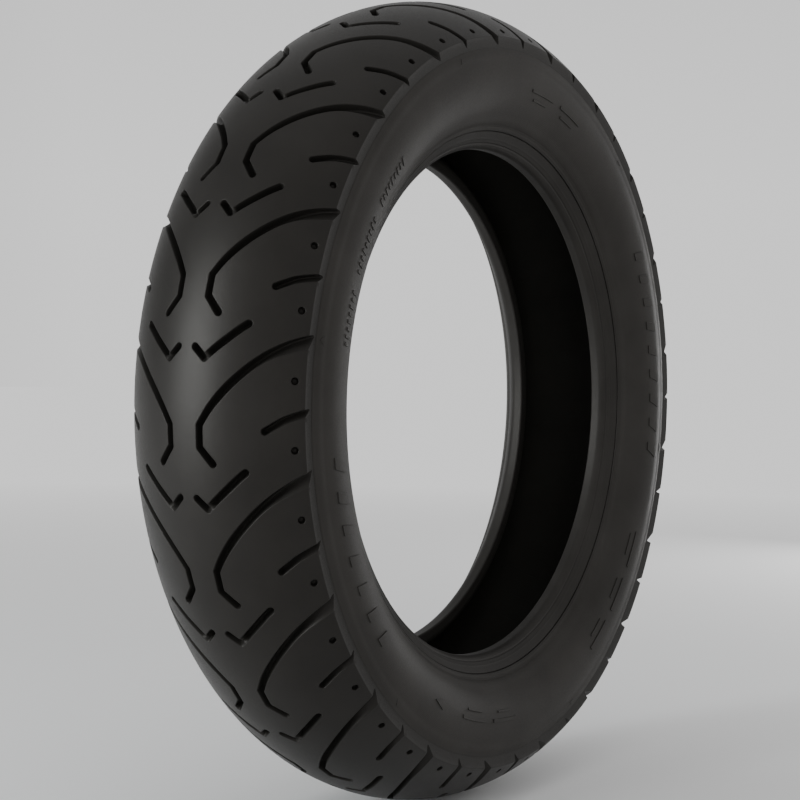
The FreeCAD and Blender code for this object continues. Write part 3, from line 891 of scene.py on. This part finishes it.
def rubber(name, colour, rough, grain=0.05, rings=0.0, grooved=False):
    """Cured rubber: fine grain, cloudy bloom, optional lathe rings of the mould; a grooved tread is
    matt down in its grooves, where painted shade also darkens its colour."""
    material, tree, shader = new_material(name)
    shader.inputs["Specular IOR Level"].default_value = GLOSS_LEVEL
    shader.inputs["Specular Tint"].default_value = GLOSS_TINT
    place = node(tree, "ShaderNodeTexCoord")
    cloud = node(tree, "ShaderNodeTexNoise", Scale=14.0, Detail=5.0, Roughness=0.6)
    fine = node(tree, "ShaderNodeTexNoise", Scale=900.0, Detail=3.0, Roughness=0.65)
    speck = node(tree, "ShaderNodeTexNoise", Scale=2600.0, Detail=2.0)
    for each in (cloud, fine, speck):
        link(tree, place.outputs["Object"], each.inputs["Vector"])
    tone = node(tree, "ShaderNodeValToRGB")
    for stop, at, sign in zip(tone.color_ramp.elements, (0.30, 0.74), (-1, 1)):
        stop.position = at
        stop.color = [c * (1 + sign * DUST) for c in colour] + [1]
    link(tree, cloud.outputs["Fac"], tone.inputs["Fac"])
    paint = tone.outputs["Color"]
    gloss = ranged(tree, fine.outputs["Fac"], 0.3, 0.7, rough - 0.05, rough + 0.07)
    if grooved:
        deep = groove_shade_and_matt_mask(tree, place)
        # Painted shade: the colour is multiplied darker down in the grooves, where shade falls.
        painted_shade_node = node(tree, "ShaderNodeMix", data_type="RGBA", blend_type="MULTIPLY")
        link(tree, deep, painted_shade_node.inputs["Factor"])
        link(tree, paint, painted_shade_node.inputs[6])
        painted_shade_node.inputs[7].default_value = GROOVE_PAINTED_SHADE
        paint = painted_shade_node.outputs[2]
        gloss = maths(tree, "MULTIPLY_ADD", deep, GROOVE_MATT, gloss)
    link(tree, paint, shader.inputs["Base Color"])
    link(tree, gloss, shader.inputs["Roughness"])
    bump = node(tree, "ShaderNodeBump", Strength=grain, Distance=0.0006)
    both = maths(tree, "ADD", fine.outputs["Fac"], speck.outputs["Fac"])
    link(tree, both, bump.inputs["Height"])
    last = bump
    if rings:
        split = node(tree, "ShaderNodeSeparateXYZ")
        link(tree, place.outputs["Object"], split.inputs["Vector"])
        phase = maths(tree, "MULTIPLY", wheel_radius(tree, split), 2 * math.pi / RING_PITCH)
        last = node(tree, "ShaderNodeBump", Strength=rings, Distance=0.00006)
        link(tree, maths(tree, "SINE", phase), last.inputs["Height"])
        link(tree, bump.outputs["Normal"], last.inputs["Normal"])
    link(tree, last.outputs["Normal"], shader.inputs["Normal"])
    return material


def maths(tree, operation, *values):
    """Output of a math node fed by numbers or by other outputs."""
    made = node(tree, "ShaderNodeMath", operation=operation)
    for socket, value in zip(made.inputs, values):
        if isinstance(value, (int, float)):
            socket.default_value = value
        else:
            link(tree, value, socket)
    return made.outputs["Value"]


def wheel_radius(tree, split):
    """Distance from the spin axis."""
    wheel = node(tree, "ShaderNodeCombineXYZ")
    link(tree, split.outputs["X"], wheel.inputs["X"])
    link(tree, split.outputs["Z"], wheel.inputs["Y"])
    radius = node(tree, "ShaderNodeVectorMath", operation="LENGTH")
    link(tree, wheel.outputs["Vector"], radius.inputs[0])
    return radius.outputs["Value"]


def ranged(tree, value, low, high, to_low, to_high):
    """A value carried from one range to another, and held at its ends."""
    made = node(tree, "ShaderNodeMapRange")
    for key, number in (("From Min", low), ("From Max", high),
                        ("To Min", to_low), ("To Max", to_high)):
        made.inputs[key].default_value = number
    link(tree, value, made.inputs["Value"])
    return made.outputs["Result"]


def groove_shade_and_matt_mask(tree, place):
    """0 on the running surface, 1 down in a groove, fading out towards the shoulder; it drives the
    painted shade and the matt finish there.
    """
    split = node(tree, "ShaderNodeSeparateXYZ")
    link(tree, place.outputs["Object"], split.inputs["Vector"])
    above = maths(tree, "SUBTRACT", wheel_radius(tree, split), CROWN_C * MM)
    arc = node(tree, "ShaderNodeCombineXYZ")
    link(tree, above, arc.inputs["X"])
    link(tree, split.outputs["Y"], arc.inputs["Y"])
    reach = node(tree, "ShaderNodeVectorMath", operation="LENGTH")
    link(tree, arc.outputs["Vector"], reach.inputs[0])
    sunk = ranged(tree, reach.outputs["Value"], (CROWN_R - DARK_FROM) * MM,
                  (CROWN_R - DARK_FULL) * MM, 0, 1)
    across = maths(tree, "ABSOLUTE", split.outputs["Y"])
    return maths(tree, "MULTIPLY", sunk, ranged(tree, across, FADE_FROM, FADE_TO, 1, 0))


def cord_cloth(name, cord, gum, angle, pitch=0.0011, square=False):
    """Rubberised cord: parallel threads showing through their coat."""
    material, tree, shader = new_material(name)
    place = node(tree, "ShaderNodeTexCoord")
    turn = node(tree, "ShaderNodeMapping")
    turn.inputs["Rotation"].default_value = (0.0, 0.0, math.radians(angle))
    link(tree, place.outputs["Object"], turn.inputs["Vector"])
    wave = node(tree, "ShaderNodeTexWave", Scale=0.314 / pitch / 2, Distortion=0.4)
    link(tree, turn.outputs["Vector"], wave.inputs["Vector"])
    height = wave.outputs["Fac"]
    if square:
        other = node(tree, "ShaderNodeTexWave", Scale=0.314 / pitch / 2, bands_direction="Z")
        link(tree, turn.outputs["Vector"], other.inputs["Vector"])
        height = maths(tree, "MAXIMUM", wave.outputs["Fac"], other.outputs["Fac"])
    tone = node(tree, "ShaderNodeValToRGB")
    tone.color_ramp.elements[0].color = list(gum) + [1]
    tone.color_ramp.elements[1].color = list(cord) + [1]
    link(tree, height, tone.inputs["Fac"])
    link(tree, tone.outputs["Color"], shader.inputs["Base Color"])
    shader.inputs["Roughness"].default_value = 0.8
    bump = node(tree, "ShaderNodeBump", Strength=0.5, Distance=0.0003)
    link(tree, height, bump.inputs["Height"])
    link(tree, bump.outputs["Normal"], shader.inputs["Normal"])
    return material


def bronze_wire():
    material, tree, shader = new_material("bronzed_wire")
    shader.inputs["Metallic"].default_value = 1.0
    place = node(tree, "ShaderNodeTexCoord")
    streak = node(tree, "ShaderNodeTexNoise", Scale=700.0, Detail=3.0)
    link(tree, place.outputs["Object"], streak.inputs["Vector"])
    tone = node(tree, "ShaderNodeValToRGB")
    tone.color_ramp.elements[0].color = (0.34, 0.25, 0.15, 1)
    tone.color_ramp.elements[1].color = (0.55, 0.44, 0.30, 1)
    link(tree, streak.outputs["Fac"], tone.inputs["Fac"])
    link(tree, tone.outputs["Color"], shader.inputs["Base Color"])
    shader.inputs["Roughness"].default_value = 0.36
    bump = node(tree, "ShaderNodeBump", Strength=0.15, Distance=0.0002)
    link(tree, streak.outputs["Fac"], bump.inputs["Height"])
    link(tree, bump.outputs["Normal"], shader.inputs["Normal"])
    return material


# ---------------------------------------------------------------- scene

CAMERA_AT = (1.13652, 0.70344, 0.01360)
CAMERA_PAN, CAMERA_TILT, CAMERA_ROLL = 1.433, -0.018, -1.087
CAMERA_FOCAL = 73.07
FLOOR_HALF, FLOOR_GAP = 40, 0.0004
SWEEP_FROM, SWEEP_TO = 0.9, 4.0
DIM_SIDE = (0.30, -0.95, 0.0)


def add_camera():
    """The photograph's viewpoint: aimed at the middle, then turned by the small fitted angles."""
    at = np.array(CAMERA_AT)
    forward = -at / np.linalg.norm(at)
    right = unit(np.array([forward[1], -forward[0], 0.0]))
    up = np.cross(right, forward)
    pan, tilt, roll = (math.radians(a) for a in (CAMERA_PAN, CAMERA_TILT, CAMERA_ROLL))
    panned = np.array([[math.cos(pan), 0, math.sin(pan)], [0, 1, 0],
                       [-math.sin(pan), 0, math.cos(pan)]])
    tilted = np.array([[1, 0, 0], [0, math.cos(tilt), math.sin(tilt)],
                       [0, -math.sin(tilt), math.cos(tilt)]])
    rolled = np.array([[math.cos(roll), -math.sin(roll), 0],
                       [math.sin(roll), math.cos(roll), 0], [0, 0, 1]])
    axes = rolled @ tilted @ panned @ np.array([right, up, forward])
    data = bpy.data.cameras.new("camera")
    data.lens = CAMERA_FOCAL
    data.sensor_width = 36.0
    data.clip_start, data.clip_end = 0.05, 120.0
    camera = bpy.data.objects.new("camera", data)
    columns = np.array([axes[0], axes[1], -axes[2]]).T
    matrix = np.eye(4)
    matrix[:3, :3] = columns
    matrix[:3, 3] = at
    camera.matrix_world = Matrix(matrix.tolist())
    bpy.context.scene.collection.objects.link(camera)
    bpy.context.scene.camera = camera


def soft_box(name, at, target, size, power, colour=(1, 1, 1)):
    data = bpy.data.lights.new(name, "AREA")
    data.shape = "RECTANGLE"
    data.size, data.size_y = size
    data.energy = power
    data.color = colour
    lamp = bpy.data.objects.new(name, data)
    lamp.location = at
    lamp.visible_camera = False
    aim = np.array(target) - np.array(at)
    lamp.rotation_mode = "QUATERNION"
    lamp.rotation_quaternion = Vector(aim.tolist()).to_track_quat("-Z", "Y")
    bpy.context.scene.collection.objects.link(lamp)


def add_light():
    """White world, dimmer from above and from one side, with three soft boxes."""
    world = bpy.data.worlds.new("studio")
    world.use_nodes = True
    tree = world.node_tree
    sky = tree.nodes["Background"]
    sky.inputs["Color"].default_value = WHITE
    place = node(tree, "ShaderNodeTexCoord")
    split = node(tree, "ShaderNodeSeparateXYZ")
    link(tree, place.outputs["Generated"], split.inputs["Vector"])
    height = ranged(tree, split.outputs["Z"], 0.12, 0.6, 0.0, 0.40)
    aside = node(tree, "ShaderNodeVectorMath", operation="DOT_PRODUCT")
    link(tree, place.outputs["Generated"], aside.inputs[0])
    aside.inputs[1].default_value = DIM_SIDE
    shade = ranged(tree, aside.outputs["Value"], 0.45, 0.90, 0.0, 0.62)
    total = maths(tree, "ADD", height, shade)
    link(tree, ranged(tree, total, 0.0, 0.7, 1.0, 0.3), sky.inputs["Strength"])
    bpy.context.scene.world = world
    soft_box("key", (2.4, -1.3, 0.45), (0.2, 0, 0.05), (0.65, 1.6), 66.0, (0.95, 1.0, 1.02))
    soft_box("rim", (-2.4, 0.0, 0.02), (-0.2, 0, 0.0), (0.35, 0.7), 15.0)
    soft_box("top", (0.4, 0.6, 2.4), (0, 0, 0), (1.8, 1.8), 3.0)


def add_floor():
    """Pale floor that turns into glowing white away from the tyre."""
    mesh = bpy.data.meshes.new("floor")
    low = -OUTER_R * MM - FLOOR_GAP
    corners = [(x * FLOOR_HALF, y * FLOOR_HALF, low)
               for x, y in ((-1, -1), (1, -1), (1, 1), (-1, 1))]
    mesh.from_pydata(corners, [], [(0, 1, 2, 3)])
    floor = bpy.data.objects.new("floor", mesh)
    material, tree, shader = new_material("floor_paint")
    grain = node(tree, "ShaderNodeTexNoise", Scale=40.0, Detail=4.0)
    tone = node(tree, "ShaderNodeValToRGB")
    tone.color_ramp.elements[0].color = (0.90, 0.90, 0.90, 1)
    tone.color_ramp.elements[1].color = (0.93, 0.93, 0.93, 1)
    link(tree, grain.outputs["Fac"], tone.inputs["Fac"])
    link(tree, tone.outputs["Color"], shader.inputs["Base Color"])
    shader.inputs["Roughness"].default_value = 0.7
    place = node(tree, "ShaderNodeTexCoord")
    away = node(tree, "ShaderNodeVectorMath", operation="LENGTH")
    link(tree, place.outputs["Object"], away.inputs[0])
    glow = node(tree, "ShaderNodeEmission", Strength=1.0)
    glow.inputs["Color"].default_value = WHITE
    sweep = node(tree, "ShaderNodeMixShader")
    glowing = ranged(tree, away.outputs["Value"], SWEEP_FROM, SWEEP_TO, 0.0, 1.0)
    link(tree, glowing, sweep.inputs["Fac"])
    link(tree, shader.outputs["BSDF"], sweep.inputs[1])
    link(tree, glow.outputs["Emission"], sweep.inputs[2])
    link(tree, sweep.outputs["Shader"], tree.nodes["Material Output"].inputs["Surface"])
    mesh.materials.append(material)
    bpy.context.scene.collection.objects.link(floor)


def dress_hidden(frame):
    """Materials for the layers inside the tyre, which keep their CAD shape."""
    gum = rubber("gum_rubber", (0.045, 0.041, 0.036), 0.62)
    base = rubber("base_rubber", (0.036, 0.034, 0.032), 0.66)
    breaker = (0.30, 0.24, 0.13), (0.10, 0.085, 0.06)
    ply = (0.22, 0.18, 0.13), (0.06, 0.05, 0.04)
    chafer = (0.17, 0.155, 0.13), (0.05, 0.045, 0.04)
    wrap = (0.19, 0.175, 0.15), (0.06, 0.055, 0.05)
    looks = {
        "tread_base": base, "shoulder_cushion": gum, "bead_apex": gum, "bead_gum": gum,
        "breaker_outer": cord_cloth("breaker_cord_right", *breaker, 28),
        "breaker_inner": cord_cloth("breaker_cord_left", *breaker, -28),
        "carcass_ply_outer": cord_cloth("ply_cord_right", *ply, 36),
        "carcass_ply_inner": cord_cloth("ply_cord_left", *ply, -36),
        "chafer": cord_cloth("chafer_cloth", *chafer, 45, 0.0008, True),
        "bead_wrap": cord_cloth("wrap_tape", *wrap, 20, 0.0007),
        "bead_core": bronze_wire(),
    }
    for name, obj in frame["nodes"].items():
        for start, material in looks.items():
            if name.startswith(start):
                obj.data.materials.clear()
                obj.data.materials.append(material)


def main():
    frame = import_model()
    tread = rubber("tread_rubber", TREAD_COLOUR, 0.40, grain=0.16, grooved=True)
    wall = rubber("sidewall_rubber", WALL_COLOUR, 0.56, grain=0.10, rings=0.2)
    bead = rubber("rim_rubber", BEAD_COLOUR, 0.50, grain=0.10, rings=0.2)
    inside_skin = rubber("liner_rubber", LINER_COLOUR, 0.62, grain=0.12)
    build_tread().mesh("tread_skin", "tread_rubber", ["tread_cap"], tread)
    for side, word in ((LEFT, "left"), (RIGHT, "right")):
        build_sidewall(side).mesh("wall_" + word, "sidewall_rubber", ["sidewall_" + word], wall)
        build_strip(side).mesh("bead_" + word, "rim_rubber", ["rim_strip_" + word], bead)
    build_liner().mesh("liner_skin", "liner_rubber", ["inner_liner"], inside_skin)
    dress_hidden(frame)
    add_floor()
    add_light()
    add_camera()


main()
